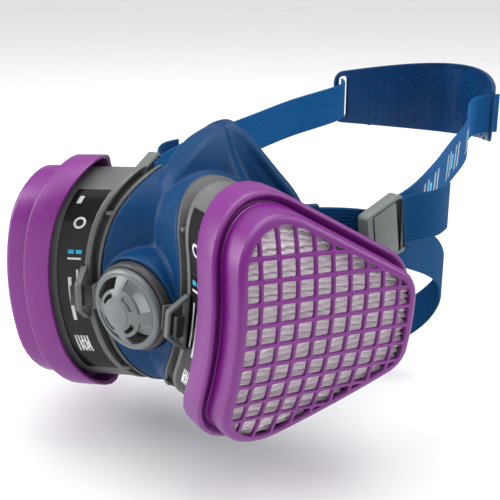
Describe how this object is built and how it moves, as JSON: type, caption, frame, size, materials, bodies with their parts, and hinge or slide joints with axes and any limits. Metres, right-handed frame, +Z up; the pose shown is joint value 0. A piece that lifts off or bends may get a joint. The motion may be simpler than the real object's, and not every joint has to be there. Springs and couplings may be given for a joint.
{
  "type": "respirator",
  "caption": "Half-mask respirator with two bowed rectangular filter cartridges, a front exhalation valve, webbing straps with cam buckles and a head cradle.",
  "frame": {"origin": "centre of the face opening, in the plane where the facepiece seals on the face", "axes": "+X towards the wearer's left, +Y back towards the head, +Z up"},
  "size_m": [0.2242, 0.3832, 0.1675],
  "materials": {
    "buckle": "satin",
    "pin": "satin",
    "label": "satin",
    "canister": "satin",
    "carbon": "matte",
    "valve_cover": "satin",
    "silicone": "satin",
    "valve_seat": "satin",
    "facepiece": "satin",
    "cap": "satin",
    "cradle": "satin",
    "screen": "matte",
    "latch": "satin",
    "webbing": "woven",
    "filter_paper": "matte",
    "port": "satin",
    "gasket": "matte",
    "lug": "satin"
  },
  "bodies": {
    "root": {"facepiece": "facepiece", "port_frame_left": "port", "port_frame_right": "port", "exhalation_seat": "valve_seat", "lower_strap": "webbing", "strap_lug_left": "lug", "strap_lug_right": "lug"},
    "exhalation_cover": {"exhalation_cover": "valve_cover"},
    "exhalation_flap": {"exhalation_flap": "silicone"},
    "head_harness": {"head_cradle": "cradle", "upper_strap_left": "webbing", "upper_strap_right": "webbing", "strap_tail_left": "webbing", "strap_tail_right": "webbing", "buckle_frame_left": "buckle", "buckle_frame_right": "buckle", "buckle_pin_left": "pin", "buckle_pin_right": "pin"},
    "left_cartridge": {"grille_cover_left": "cap", "pleated_media_left": "filter_paper", "filter_housing_left": "cap", "outer_screen_left": "screen", "carbon_bed_left": "carbon", "inner_screen_left": "screen", "canister_left": "canister", "canister_label_left": "label", "port_gasket_left": "gasket", "latch_loop_left": "canister"},
    "inhalation_flap_left": {"inhalation_flap_left": "silicone"},
    "latch_tongue_left": {"latch_tongue_left": "latch"},
    "buckle_lever_left": {"buckle_lever_left": "buckle"},
    "right_cartridge": {"grille_cover_right": "cap", "pleated_media_right": "filter_paper", "filter_housing_right": "cap", "outer_screen_right": "screen", "carbon_bed_right": "carbon", "inner_screen_right": "screen", "canister_right": "canister", "canister_label_right": "label", "port_gasket_right": "gasket", "latch_loop_right": "canister"},
    "inhalation_flap_right": {"inhalation_flap_right": "silicone"},
    "latch_tongue_right": {"latch_tongue_right": "latch"},
    "buckle_lever_right": {"buckle_lever_right": "buckle"}
  },
  "joints": [
    {"name": "exhalation_cover_pull", "type": "slide", "parent": "root", "child": "exhalation_cover", "axis": [0, -0.9994, -0.0349], "range_m": [0, 0.01]},
    {"name": "exhalation_flap_lift", "type": "slide", "parent": "root", "child": "exhalation_flap", "axis": [0, -0.9994, -0.0349], "range_m": [0, 0.0012], "stiffness_N_per_m": 20},
    {"name": "head_harness_swing", "type": "hinge", "parent": "root", "child": "head_harness", "pos_m": [0, 0.0045, 0.0145], "axis": [1, 0, 0], "range_deg": [0, 35]},
    {"name": "left_cartridge_pull", "type": "slide", "parent": "root", "child": "left_cartridge", "axis": [0.9179, -0.3953, -0.0349], "range_m": [0, 0.03]},
    {"name": "inhalation_flap_lift_left", "type": "slide", "parent": "root", "child": "inhalation_flap_left", "axis": [-0.9179, 0.3953, 0.0349], "range_m": [0, 0.0015], "stiffness_N_per_m": 20},
    {"name": "latch_flex_left", "type": "hinge", "parent": "root", "child": "latch_tongue_left", "pos_m": [0.02349, -0.08879, -0.00902], "axis": [0.0712, 0.0775, 0.9944], "range_deg": [0, 8], "stiffness_Nm_per_rad": 0.05},
    {"name": "buckle_lever_swing_left", "type": "hinge", "parent": "head_harness", "child": "buckle_lever_left", "pos_m": [0.08068, 0.02246, 0.01762], "axis": [-0.0364, -0.156, 0.9871], "range_deg": [0, 35]},
    {"name": "right_cartridge_pull", "type": "slide", "parent": "root", "child": "right_cartridge", "axis": [-0.9179, -0.3953, -0.0349], "range_m": [0, 0.03]},
    {"name": "inhalation_flap_lift_right", "type": "slide", "parent": "root", "child": "inhalation_flap_right", "axis": [0.9179, 0.3953, 0.0349], "range_m": [0, 0.0015], "stiffness_N_per_m": 20},
    {"name": "latch_flex_right", "type": "hinge", "parent": "root", "child": "latch_tongue_right", "pos_m": [-0.02349, -0.08879, -0.00902], "axis": [0.0712, -0.0775, -0.9944], "range_deg": [0, 8], "stiffness_Nm_per_rad": 0.05},
    {"name": "buckle_lever_swing_right", "type": "hinge", "parent": "head_harness", "child": "buckle_lever_right", "pos_m": [-0.08068, 0.02246, 0.01762], "axis": [-0.0364, 0.156, -0.9871], "range_deg": [0, 35]}
  ]
}
